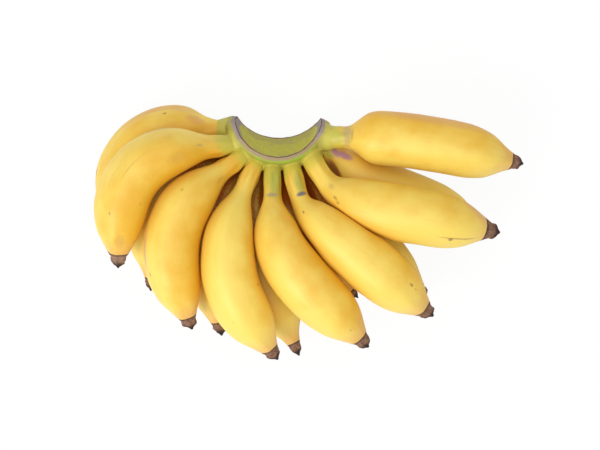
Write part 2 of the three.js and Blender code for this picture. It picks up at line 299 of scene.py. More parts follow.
@dataclass(frozen=True)
class PeelFinish:
    """Ripe banana peel: waxy and smooth, with a broad soft sheen and its colour just below.

    The stem is greener and fibrous, the flower end is a dry brown husk, and the sap that ran down
    between the stems has dried to a red brown; that red brown is also painted shade between the
    stems, under the bananas and along where they touch, and a deeper golden near the neighbours is
    painted shade too, partly the colour where they press.
    """

    ripe: str = "#f0d25e"
    golden: str = "#e4ae26"
    # a deeper golden, painted shade near the neighbours, partly the colour where they press
    pressed_and_shaded: str = "#e0a32c"
    unripe: str = "#d6bf46"
    stem: str = "#bcb54a"
    tan: str = "#dba157"
    # dried sap, also painted as shade between the stems, under the bananas and where they touch
    sap_and_shade: str = "#b5560f"
    freckle: str = "#8d5d2c"
    husk: str = "#97745f"
    husk_mid: str = "#583c2f"
    husk_dark: str = "#392a25"
    husk_pale: str = "#bda48c"
    roughness: float = 0.5
    husk_roughness: float = 0.85
    sheen: float = 0.75  # the wax reflects more than plain skin, which is 0.5
    ior: float = 1.45  # plant wax
    cloud: float = 14.0  # mm, patches where the peel is a little riper
    fibre: float = 0.9  # mm, across the strands under the peel
    fibre_stretch: float = 0.05  # how much finer a strand is along than across
    pore: float = 0.5  # mm, the peel's grain
    crumple: float = 1.3  # mm, folds of the dry husk
    freckle_cell: float = 7.0  # mm between freckles
    freckle_radius: float = 0.6  # mm, drawn a little coarse so that they show
    depth: float = 1.5 * MM  # how far light spreads under the wax

    def material(self) -> Material:
        """Builds the peel.

        Returns:
            The material.
        """
        material, add = start_material("banana_peel_waxy")
        skin = add("NodeAttribute", attribute_name="skin_mm").outputs["Vector"]
        along, husk, green, sap_and_shade, contact_shade, ripeness, bleached = (
            add("NodeAttribute", attribute_name=name).outputs["Fac"]
            for name in ("along", "husk", "green", "sap_and_shade", "contact_shade", "ripeness", "bleached")
        )
        mark = add("NodeAttribute", attribute_name="mark").outputs
        clouds = add("NodeTexNoise", {"Vector": skin, "Scale": 1 / self.cloud, "Detail": 4.0})
        drawn_out = add("NodeMapping", {"Vector": skin, "Scale": (1, 1, self.fibre_stretch)})
        strands = add("NodeTexNoise", {"Vector": drawn_out, "Scale": 1 / self.fibre, "Detail": 3.0})
        grain = add("NodeTexNoise", {"Vector": skin, "Scale": 1 / self.pore, "Detail": 2.0})
        folds = add("NodeTexNoise", {"Vector": skin, "Scale": 1 / self.crumple, "Detail": 4.0})

        # Ripeness, with painted shade on one side and painted light on the lower bananas, mixes the
        # pale colour towards golden.
        golden_amount = add("NodeMath", {0: clouds, 1: 1.3, 2: ripeness}, **ADDED)
        golden_amount = add("NodeMapRange", {0: golden_amount, 1: 0.55, 2: 1.55}, **SOFT)
        colour = add("NodeMix", {0: golden_amount, 6: linear(self.ripe), 7: linear(self.golden)}, **COLOURS)
        streak = add("NodeMapRange", {0: strands, 1: 0.5, 2: 0.8, 4: 0.2}, **SOFT)
        # Near the neighbours the peel is painted a deeper golden: painted shade, partly the colour
        # where they press.
        pressed_and_shaded = add("NodeMath", {0: contact_shade, 1: 0.65}, **TIMES)

        # The green of the stem fades into the shoulder in uneven patches.
        waver = add("NodeMath", {0: clouds, 1: 0.5, 2: green}, **ADDED)
        shoulder = add("NodeMapRange", {0: waver, 1: 0.3, 2: 0.85}, **SOFT)
        fibrous = add("NodeMath", {0: strands, 1: 0.5, 2: waver}, **ADDED)
        greenest = add("NodeMapRange", {0: fibrous, 1: 0.9, 2: 1.75}, **SOFT)
        near_end = add("NodeMath", {0: strands, 1: 0.05, 2: along}, **ADDED)
        drier = add("NodeMapRange", {0: near_end, 1: 0.84, 2: 0.99, 4: 0.85}, **SOFT)

        cells = add("NodeTexVoronoi", {"Vector": skin, "Scale": 1 / self.freckle_cell}).outputs
        chance = add("NodeSeparateColor", {0: cells["Color"]}).outputs
        radius = self.freckle_radius / self.freckle_cell
        reach = add("NodeMath", {0: chance[1], 1: radius}, **TIMES)
        reach = add("NodeMath", {0: cells["Distance"], 1: reach}, operation="DIVIDE")
        spot = add("NodeMapRange", {0: reach, 1: 1.3, 2: 0.4}, **SOFT)
        chosen = add("NodeMapRange", {0: chance[0], 1: 0.55, 2: 0.8, 4: 0.6}, **SOFT)
        spot = add("NodeMath", {0: spot, 1: chosen}, **TIMES)

        # Sap, which is also painted shade between the bananas, and marks have ragged edges that
        # follow the grain.
        ragged = add("NodeMath", {0: folds, 1: 0.6, 2: sap_and_shade}, **ADDED)
        sap_and_shade_amount = add("NodeMapRange", {0: ragged, 1: 0.45, 2: 1.15, 4: 0.95}, **SOFT)
        ragged = add("NodeMath", {0: folds, 1: 0.28, 2: mark["Alpha"]}, **ADDED)
        marked = add("NodeMapRange", {0: ragged, 1: 0.21, 2: 0.95}, **SOFT)

        # The husk is pale on its facets, and dark in its folds, along its rim and at its point.
        folded = add("NodeMapRange", {0: folds, 1: 0.32, 2: 0.6}, **SOFT)
        dry = add("NodeMix", {0: folded, 6: linear(self.husk_mid), 7: linear(self.husk)}, **COLOURS)
        rim = add("NodeMapRange", {0: husk, 1: 1.16, 2: 1.03, 4: 0.7}, **SOFT)
        pointed = add("NodeMath", {0: folds, 1: 0.5, 2: husk}, **ADDED)
        apex = add("NodeMapRange", {0: pointed, 1: 1.65, 2: 2.0}, **SOFT)
        darker = linear(self.husk_dark)
        for amount, layer in (bleached, linear(self.husk_pale)), (rim, darker), (apex, darker):
            dry = add("NodeMix", {0: amount, 6: dry, 7: layer}, **COLOURS)
        is_husk = add("NodeMapRange", {0: husk, 1: 0.55, 2: 0.9}, **SOFT)

        # Each layer lies over the ones before it.
        layers = (
            (streak, linear(self.golden)),
            (pressed_and_shaded, linear(self.pressed_and_shaded)),
            (shoulder, linear(self.unripe)),
            (greenest, linear(self.stem)),
            (drier, linear(self.tan)),
            (spot, linear(self.freckle)),
            (sap_and_shade_amount, linear(self.sap_and_shade)),
            (marked, mark["Color"]),
            (is_husk, dry),
        )
        for amount, layer in layers:
            colour = add("NodeMix", {0: amount, 6: colour, 7: layer}, **COLOURS)

        rough = add("NodeMapRange", {0: grain, 3: self.roughness - 0.07, 4: self.roughness + 0.07})
        dull = add("NodeMath", {0: is_husk, 1: self.husk_roughness}, **TIMES)
        rough = add("NodeMath", {0: rough, 1: dull}, **GREATER)
        waxless = add("NodeMath", {0: sap_and_shade_amount, 1: is_husk}, **GREATER)
        waxless = add("NodeMath", {0: waxless, 1: pressed_and_shaded}, **GREATER)
        waxy = add("NodeMapRange", {0: waxless, 3: self.sheen, 4: 0.1})
        height = add("NodeMath", {0: folds, 1: is_husk}, **TIMES)
        height = add("NodeMath", {0: height, 1: 6.0, 2: grain}, **ADDED)
        height = add("NodeMath", {0: strands, 1: 1.2, 2: height}, **ADDED)
        bump = add("NodeBump", {"Strength": 0.25, "Distance": 0.08 * MM, "Height": height})
        shader = add(
            "NodeBsdfPrincipled",
            {
                "Base Color": colour,
                "Roughness": rough,
                "Normal": bump,
                "IOR": self.ior,
                "Specular IOR Level": waxy,
                "Subsurface Weight": 0.15,
                "Subsurface Radius": (1.0, 0.5, 0.15),
                "Subsurface Scale": self.depth,
            },
        )
        add("NodeOutputMaterial", {"Surface": shader})
        return material


@dataclass(frozen=True)
class CrownFinish:
    """The crown: waxy green skin, a corky brown edge where it dried, and the matt fibrous cut."""

    skin: str = "#a69d49"
    skin_fresh: str = "#96b03c"
    knuckle: str = "#c1b84e"
    flesh: str = "#bdb83a"
    flesh_dull: str = "#a89d54"
    cork: str = "#a69163"
    cork_grey: str = "#978a87"
    line: str = "#64392f"
    roughness: float = 0.5
    cut_roughness: float = 0.75
    ior: float = 1.45
    cloud: float = 6.0  # mm
    fibre: float = 0.8  # mm across a bundle of strands in the cut
    fibre_stretch: float = 0.12  # how much finer a strand is along than across
    grain: float = 0.6  # mm
    cork_inside: float = 0.9  # mm, how far the cork reaches over the cut
    cork_outside: float = 2.3  # mm, and over the skin
    cork_at_horns: float = 4.5  # mm, how much further over the cut it reaches at the two horns
    cork_blur: float = 0.3  # mm, half of the width that its edges fade over
    line_width: float = 0.4  # mm, half of the dark line along the very edge

    def material(self) -> Material:
        """Builds the crown's skin, edge and cut.

        Returns:
            The material.
        """
        material, add = start_material("banana_crown_green")
        place = add("NodeAttribute", attribute_name="place_mm").outputs["Vector"]
        rim, knuckle, fresh, far, back = (
            add("NodeAttribute", attribute_name=name).outputs["Fac"]
            for name in ("rim_mm", "knuckle", "fresh", "far", "back")
        )
        clouds = add("NodeTexNoise", {"Vector": place, "Scale": 1 / self.cloud, "Detail": 3.0})
        grain = add("NodeTexNoise", {"Vector": place, "Scale": 1 / self.grain, "Detail": 2.0})
        drawn_out = add("NodeMapping", {"Vector": place, "Scale": (1, 1, self.fibre_stretch)})
        strands = add("NodeTexNoise", {"Vector": drawn_out, "Scale": 1 / self.fibre, "Detail": 3.0})

        # The skin is fresh green in patches near the rim, and turns to the stems' own colour.
        fresher = add("NodeMath", {0: rim, 1: -0.04, 2: clouds}, **ADDED)
        fresher = add("NodeMapRange", {0: fresher, 1: 0.15, 2: 0.42}, **SOFT)
        fresher = add("NodeMath", {0: fresher, 1: fresh}, **TIMES)
        greens = {6: linear(self.skin), 7: linear(self.skin_fresh)}
        skin = add("NodeMix", {0: fresher, **greens}, **COLOURS)
        pale = add("NodeMath", {0: clouds, 1: 0.4, 2: knuckle}, **ADDED)
        pale = add("NodeMapRange", {0: pale, 1: 0.25, 2: 1.05}, **SOFT)
        skin = add("NodeMix", {0: pale, 6: skin, 7: linear(self.knuckle)}, **COLOURS)

        fibrous = add("NodeMapRange", {0: strands, 1: 0.45, 2: 0.7, 4: 0.5}, **SOFT)
        fleshes = {6: linear(self.flesh), 7: linear(self.flesh_dull)}
        flesh = add("NodeMix", {0: fibrous, **fleshes}, **COLOURS)
        patch = add("NodeMath", {0: back, 1: 0.35, 2: clouds}, **ADDED)
        patch = add("NodeMapRange", {0: patch, 1: 0.5, 2: 0.85, 4: 0.8}, **SOFT)
        flesh = add("NodeMix", {0: patch, 6: flesh, 7: linear(self.flesh_dull)}, **COLOURS)
        inside = add("NodeMapRange", {0: rim, 1: 0.1, 2: -0.1}, **SOFT)
        colour = add("NodeMix", {0: inside, 6: skin, 7: flesh}, **COLOURS)

        # The cork and the dark line along the rim waver, because the knife's edge dried unevenly.
        edge = add("NodeMath", {0: clouds, 1: 1.6, 2: rim}, **ADDED)
        edge = add("NodeMath", {0: edge, 1: 0.8}, operation="SUBTRACT")
        deeper = add("NodeMath", {0: far, 1: self.cork_at_horns, 2: edge}, **ADDED)
        blur = self.cork_blur
        out_to = {1: self.cork_outside + blur, 2: self.cork_outside - blur}
        outer = add("NodeMapRange", {0: edge, **out_to}, **SOFT)
        in_to = {1: -self.cork_inside - blur, 2: blur - self.cork_inside}
        inner = add("NodeMapRange", {0: deeper, **in_to}, **SOFT)
        corky = add("NodeMath", {0: outer, 1: inner}, **TIMES)
        greyer = add("NodeMapRange", {0: grain, 1: 0.35, 2: 0.65, 4: 0.6}, **SOFT)
        greyer = add("NodeMath", {0: greyer, 1: far}, **GREATER)
        corks = {6: linear(self.cork), 7: linear(self.cork_grey)}
        cork = add("NodeMix", {0: greyer, **corks}, **COLOURS)
        colour = add("NodeMix", {0: corky, 6: colour, 7: cork}, **COLOURS)
        off_edge = add("NodeMath", {0: back, 1: 0.7, 2: edge}, **ADDED)
        off_edge = add("NodeMath", {0: off_edge}, operation="ABSOLUTE")
        off_edge = add("NodeMath", {0: grain, 1: 0.6, 2: off_edge}, **ADDED)
        line_to = {1: self.line_width + 0.5, 2: self.line_width + 0.1, 4: 0.9}
        lined = add("NodeMapRange", {0: off_edge, **line_to}, **SOFT)
        colour = add("NodeMix", {0: lined, 6: colour, 7: linear(self.line)}, **COLOURS)

        dry = add("NodeMath", {0: inside, 1: corky}, **GREATER)
        rough = add("NodeMapRange", {0: dry, 3: self.roughness, 4: self.cut_roughness})
        height = add("NodeMath", {0: strands, 1: inside}, **TIMES)
        height = add("NodeMath", {0: height, 1: 3.0, 2: grain}, **ADDED)
        bump = add("NodeBump", {"Strength": 0.4, "Distance": 0.12 * MM, "Height": height})
        shader = add(
            "NodeBsdfPrincipled",
            {"Base Color": colour, "Roughness": rough, "Normal": bump, "IOR": self.ior},
        )
        add("NodeOutputMaterial", {"Surface": shader})
        return material


# ---- bananas ------------------------------------------------------------------------------------


class Tint(Enum):
    """Colours of the marks on the peel, most left by handling and growth, and some tan bands along
    top edges painted as shade.
    """

    SCAR = "#8a5c30"
    BRUISE = "#b07f4c"
    TAN = "#dda35c"
    RUST = "#9a5c30"
    GREY = "#8c8c74"
    SLATE = "#77706f"
    BLUSH = "#b4869a"
    GREEN = "#a8b04a"
    DARK = "#4a3630"


@dataclass(frozen=True)
class Mark:
    """One mark on the peel."""

    start: float  # mm from the crown to its middle
    degrees: float  # round the banana to its middle, with 0 to the side and 90 up
    length: float  # mm along the banana
    width: float  # mm round it
    tint: Tint
    strength: float


@dataclass(frozen=True)
class Look:
    """How ripe one banana is, with painted light on some, where its sap stain and painted shade lie,
    and its marks.
    """

    ripeness: float  # 0 is pale, 1 is golden, and less than 0 is paler still, which on lower 3, 4, 6 and 7 is painted light where the upper row shades them
    green: float = 14.0  # mm, how far the crown's green runs down its stem
    husk: float = 1.0  # how far back its husk reaches, as a part of the usual
    bleached: float = 0.0  # how pale its husk has dried
    swell: float = 0.0  # mm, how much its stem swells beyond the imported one
    neck: float = 0.08  # how much it narrows just before the husk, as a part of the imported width
    sap_and_shade: tuple[float, float] = (0.8, 2.5)  # mm to a neighbour, where the sap stain and painted shade are thick and where they end
    sap_and_shade_under: bool = True  # whether the sap stain and painted shade lie on the banana's underside only
    marks: tuple[Mark, ...] = ()


@dataclass
class Banana:
    """One banana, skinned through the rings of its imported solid."""

    name: str
    number: int
    look: Look
    packed_sides: int = 18
    packed_rings: int = 17
    steps_around: int = 7
    steps_along: int = 9
    ridges_around: int = 5
    ridge: float = 0.22 * MM
    ridge_mean: float = 0.64  # a ridge's mean height, taken off so that the size stays the same
    lump: float = 0.3 * MM
    lump_size: float = 16 * MM
    rib: float = 0.35 * MM
    ribs_around: tuple[int, int] = (7, 4)
    shaded_side: float = 0.4  # how much more golden the side at 180 degrees is painted: painted shade on the side turned from the light
    root: float = 7 * MM  # how far the stem is carried on into the crown
    root_steps: int = 6
    husk_rows: int = 16
    husk_back: float = 3.0 * MM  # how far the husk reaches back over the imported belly
    husk_reach: float = 1.25  # its length past that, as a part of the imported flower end's
    husk_tip: float = 0.2 * MM  # how far its last point stands out
    husk_facet: float = 0.22  # how deep its flat sides are cut, as a part of the radius
    # How far along the husk, and its radius there as a part of its base's.
    husk_profile: tuple[tuple[float, float], ...] = (
        (0, 1.0),
        (0.1, 1.01),
        (0.2, 0.99),
        (0.35, 0.94),
        (0.5, 0.84),
        (0.62, 0.66),
        (0.74, 0.42),
        (0.88, 0.24),
        (1.0, 0.12),
    )
    husk_grain: float = 1.5 * MM
    husk_rough: float = 0.5 * MM
    sap_and_shade_run: tuple[float, float] = (12, 45)  # mm past the shoulder, where the sap stain and painted shade thin and end
    touching: tuple[float, float] = (0.4, 1.6)  # mm to a neighbour, where the line of sap and painted shade along a touching banana fades
    # how strong that line of painted shade is
    touching_shade: float = 0.45
    shade_reach: float = 12.0  # mm to a neighbour, where the pressed colour, painted shade and partly pressing, has gone
    wrap: float = 16.0  # mm, the radius of the round that the patterns are wrapped on
    apart: float = 50.0  # mm between two bananas' patterns, so that each has its own
    rings: Array = field(init=False)
    flower: Array = field(init=False)

    def __post_init__(self) -> None:
        """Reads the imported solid's rings."""
        self.rings, self.flower = self.read_rings()

    @property
    def stem_start(self) -> Array:
        """The middle of the stem's root end."""
        return self.rings[0].mean(0)

    @property
    def stem_way(self) -> Array:
        """The way the stem leaves the crown."""
        return unit(self.rings[1].mean(0) - self.rings[0].mean(0))

    @property
    def stem_radius(self) -> float:
        """The stem's radius at its root end."""
        return float(np.linalg.norm(self.rings[0] - self.stem_start, axis=1).mean())

    @property
    def stem_length(self) -> float:
        """The stem's length, up to the shoulder."""
        return float(np.linalg.norm(self.rings[2].mean(0) - self.stem_start))

    def read_rings(self) -> tuple[Array, Array]:
        """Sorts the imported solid's points into rings, from the stem to the flower end.

        Returns:
            The rings, with 0 degrees to the side and 90 upwards, and the flower end's last point.
        """
        points, triangles = packed_mesh(self.name)
        near = [set() for _ in points]
        for a, b, c in triangles:
            near[a] |= {b, c}
            near[b] |= {a, c}
            near[c] |= {a, b}
        crown_low, crown_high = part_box("crown")
        crown = np.array((crown_low + crown_high) / 2)
        ends = [i for i, joined in enumerate(near) if len(joined) == self.packed_sides]
        ends.sort(key=lambda i: np.linalg.norm(points[i] - crown))
        start, flower = ends[0], ends[-1]

        ring = [min(near[start])]
        while len(ring) < self.packed_sides:
            ring.append(min(near[ring[-1]] & near[start] - set(ring)))
        seen = {start, *ring}
        outward = points[next(iter(near[ring[0]] - seen))] - points[start]
        turn = np.cross(points[ring[0]] - points[start], points[ring[1]] - points[start])
        if turn @ outward > 0:
            ring.reverse()
        rings = [ring]
        for _ in range(self.packed_rings - 1):
            ahead = [near[i] - seen for i in rings[-1]]
            rings.append([min(ahead[i] & ahead[(i + 1) % len(ring)]) for i in range(len(ring))])
            seen |= set(rings[-1])
        grid = points[np.array(rings)]

        middle = grid[len(grid) // 2]
        way = unit(grid[len(grid) // 2 + 1].mean(0) - grid[len(grid) // 2 - 1].mean(0))
        side = unit(np.cross(way, (0, 0, 1)))
        over = np.cross(side, way)
        spokes = middle - middle.mean(0)
        angles = np.degrees(np.arctan2(spokes @ over, spokes @ side))
        steps = np.round(angles / (360 / self.packed_sides)) - np.arange(self.packed_sides)
        turns = np.exp(1j * TAU * steps / self.packed_sides).mean()
        shift = int(round(np.angle(turns) / TAU * self.packed_sides))
        return np.roll(grid, shift, axis=1), points[flower]

    def skin_rows(self) -> tuple[Array, Array, Array]:
        """Draws the fine skin from the stem's root in the crown to the base of the husk.

        Returns:
            Rows of points, each row's distance along from the stem's start, and the angles around.
        """
        coarse = spline(self.rings[:-1], self.steps_along, closed=False)
        rows = np.swapaxes(spline(np.swapaxes(coarse, 0, 1), self.steps_around, closed=True), 0, 1)
        back = -self.stem_way * self.root / self.root_steps
        roots = [rows[0] + back * step for step in range(self.root_steps, 0, -1)]
        rows = np.concatenate([roots, rows])
        centres = rows.mean(1)
        gaps = np.linalg.norm(np.diff(centres, axis=0), axis=1)
        distance = np.concatenate([[0], np.cumsum(gaps)]) - self.root
        angles = np.arange(rows.shape[1]) / rows.shape[1] * TAU
        return rows, distance, angles

    def shape(self, rows: Array, distance: Array, angles: Array) -> Array:
        """Adds ridges, lumps and the stem's ribs to the skin.

        Args:
            rows: Rows of points.
            distance: Each row's distance along.
            angles: The angles around.

        Returns:
            The rows with their detail.
        """
        part = (distance / distance[-1])[:, None]
        spokes = unit(rows - rows.mean(1, keepdims=True))
        phase = self.number * 1.7
        ridges = np.abs(np.sin(self.ridges_around / 2 * angles + phase))[None, :] - self.ridge_mean
        near_ends = 0.5 + 0.9 * ease(part, 0.6, 0.9) + 0.6 * (1 - ease(part, 0.1, 0.35))
        height = -self.ridge * ridges * near_ends * ease(part, 0.04, 0.15)
        lumps = ripple(rows, self.lump_size, self.number)
        height = height + self.lump * lumps * ease(part, 0.05, 0.3)
        fine, broad = self.ribs_around
        ribs = np.sin(fine * angles + phase) + 0.6 * np.sin(broad * angles + 2.1 * phase)
        ribbed = (1 - ease(part, 0.04, 0.2)) * ease(distance / MM, 3, 10)[:, None]
        height = height + self.rib * ribs[None, :] * ribbed
        swollen = ease(distance / MM, 1, 6)[:, None] * (1 - ease(part, 0.1, 0.25))
        height = height + self.look.swell * MM * swollen
        into_husk = distance - distance[-1] + self.husk_back * self.look.husk
        neck = 1 - self.look.neck * ease(part, 0.84, 0.97)
        narrowed = neck * (1 - self.facets(into_husk, angles))
        middles = rows.mean(1, keepdims=True)
        return middles + (rows - middles) * narrowed[..., None] + spokes * height[..., None]

    def facets(self, into_husk: Array, angles: Array) -> Array:
        """Gives how deep the husk's flat sides are cut, as a part of the radius."""
        corner = np.abs(np.cos(self.ridges_around / 2 * angles + self.number * 2.3))
        return self.husk_facet * ease(into_husk / MM, 0.3, 4.0)[:, None] * (1 - corner)[None, :]

    def husk(self, base: Array, angles: Array) -> tuple[Array, Array]:
        """Draws the shrivelled flower end: a faceted cup that runs out into a short point.

        Args:
            base: The skin's last row.
            angles: The angles around; not used.

        Returns:
            Its rows of points, and how far each is from the base, from 0 to 1.
        """
        middle = base.mean(0)
        axis = (self.flower - middle) * self.husk_reach
        way = unit(axis)
        spokes = base - middle
        spokes = spokes - np.outer(spokes @ way, way)
        steps = np.linspace(0, 1, self.husk_rows + 1)[1:]
        profile = np.interp(steps, *np.transpose(self.husk_profile))
        rows = []
        for step, radius in zip(steps, profile):
            row = middle + axis * step + spokes * radius
            rough = ripple(row, self.husk_grain, self.number + 40) * self.husk_rough
            rough = rough * ease(step, 0.0, 0.3)
            rows.append(row + unit(spokes) * (rough * radius)[:, None])
        return np.array(rows), steps

    def paint_marks(self, distance: Array, angles: Array, radii: Array) -> Array:
        """Colours the marks.

        Args:
            distance: Each row's distance along.
            angles: The angles around.
            radii: Each row's mean radius.

        Returns:
            A colour for each point of each row, with the mark's strength as its alpha.
        """
        painted = np.zeros((len(distance), len(angles), 4))
        painted[..., :3] = linear(Tint.SCAR.value)[:3]
        for mark in self.look.marks:
            off_along = (distance / MM - mark.start)[:, None] / (mark.length / 2)
            swing = (angles - math.radians(mark.degrees) + math.pi) % TAU - math.pi
            off_around = swing[None, :] * radii[:, None] / (mark.width / 2 * MM)
            amount = mark.strength * (1 - ease(np.hypot(off_along, off_around), 0.4, 1.4))
            stronger = amount > painted[..., 3]
            painted[stronger, :3] = linear(mark.tint.value)[:3]
            painted[..., 3] = np.maximum(painted[..., 3], amount)
        return painted

    def gaps(self, rows: Array, others: BVHTree) -> Array:
        """Measures each point's gap to the other bananas' surfaces, in millimetres."""
        gaps = [others.find_nearest(Vector(point))[3] for point in rows.reshape(-1, 3)]
        return np.array(gaps).reshape(rows.shape[:2]) / MM

    def paint_sap_and_shade(self, gaps: Array, distance: Array, angles: Array) -> Array:
        """Finds where to paint sap and painted shade: between the stems, and where bananas touch.

        Args:
            gaps: The gap to the other bananas at each point of each row.
            distance: Each row's distance along.
            angles: The angles around.

        Returns:
            The amount at each point of each row, from 0 to 1.
        """
        from_stem = 1 - ease((distance - self.stem_length) / MM, *self.sap_and_shade_run)[:, None]
        side = 1 - ease(np.sin(angles), -0.2, 0.4) if self.look.sap_and_shade_under else np.ones(len(angles))
        between = (1 - ease(gaps, *self.look.sap_and_shade)) * from_stem * side
        lines = self.touching_shade * (1 - ease(gaps, *self.touching))
        return np.maximum(between, lines)

    def build(self, peel: Material, others: BVHTree) -> Object:
        """Builds and dresses the banana.

        Args:
            peel: The peel.
            others: The surfaces of all the other bananas.

        Returns:
            The piece.
        """
        rows, distance, angles = self.skin_rows()
        rows = self.shape(rows, distance, angles)
        husk_rows, husk_steps = self.husk(rows[-1], angles)
        middle = rows[-1].mean(0)
        length = np.linalg.norm(self.flower - middle) * self.husk_reach
        all_rows = np.concatenate([rows, husk_rows])
        all_rows[..., 2] = np.maximum(all_rows[..., 2], 0)
        all_distance = np.concatenate([distance, distance[-1] + husk_steps * length])
        tip = husk_rows[-1].mean(0) + unit(self.flower - middle) * self.husk_tip
        points = np.concatenate([all_rows.reshape(-1, 3), [all_rows[0].mean(0), tip]])
        piece = make_object(self.name + "_peel", points, grid_faces(len(all_rows), len(angles)))

        radii = np.linalg.norm(all_rows - all_rows.mean(1, keepdims=True), axis=2).mean(1)
        around, along = np.meshgrid(angles, all_distance)
        wrapped = np.cos(around) * self.wrap + self.number * self.apart
        back = self.husk_back * self.look.husk
        into_husk = along - distance[-1] + back
        rising, along_husk = ease(into_husk / MM, -0.8, 0), 1 + into_husk / (back + length)
        reach = self.look.green * (1 + 0.25 * np.sin(around + self.number * 2.0))
        gaps = self.gaps(all_rows, others)
        values = {
            "along": along / (distance[-1] + length),
            "skin_mm": np.stack([wrapped, np.sin(around) * self.wrap, along / MM], axis=2),
            "husk": np.where(into_husk < 0, rising, along_husk),
            "green": 1 - ease(along / (reach * MM), -0.1, 1),
            # Ripeness carries painted shade on one side; sap and contact carry painted shade between
            # the bananas.
            "ripeness": self.look.ripeness - self.shaded_side * np.cos(around),
            "sap_and_shade": self.paint_sap_and_shade(gaps, all_distance, angles),
            "contact_shade": 1 - ease(gaps, 0, self.shade_reach),
            "bleached": np.full(around.shape, self.look.bleached),
            "mark": self.paint_marks(all_distance, angles, radii),
        }
        for name, grid in values.items():
            painted = grid.reshape(-1, *grid.shape[2:])
            paint(piece, name, np.concatenate([painted, painted[:1], painted[-1:]]))
        piece.data.materials.append(peel)
        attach(piece, "root")
        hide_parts(self.name)
        return piece


# ---- crown --------------------------------------------------------------------------------------


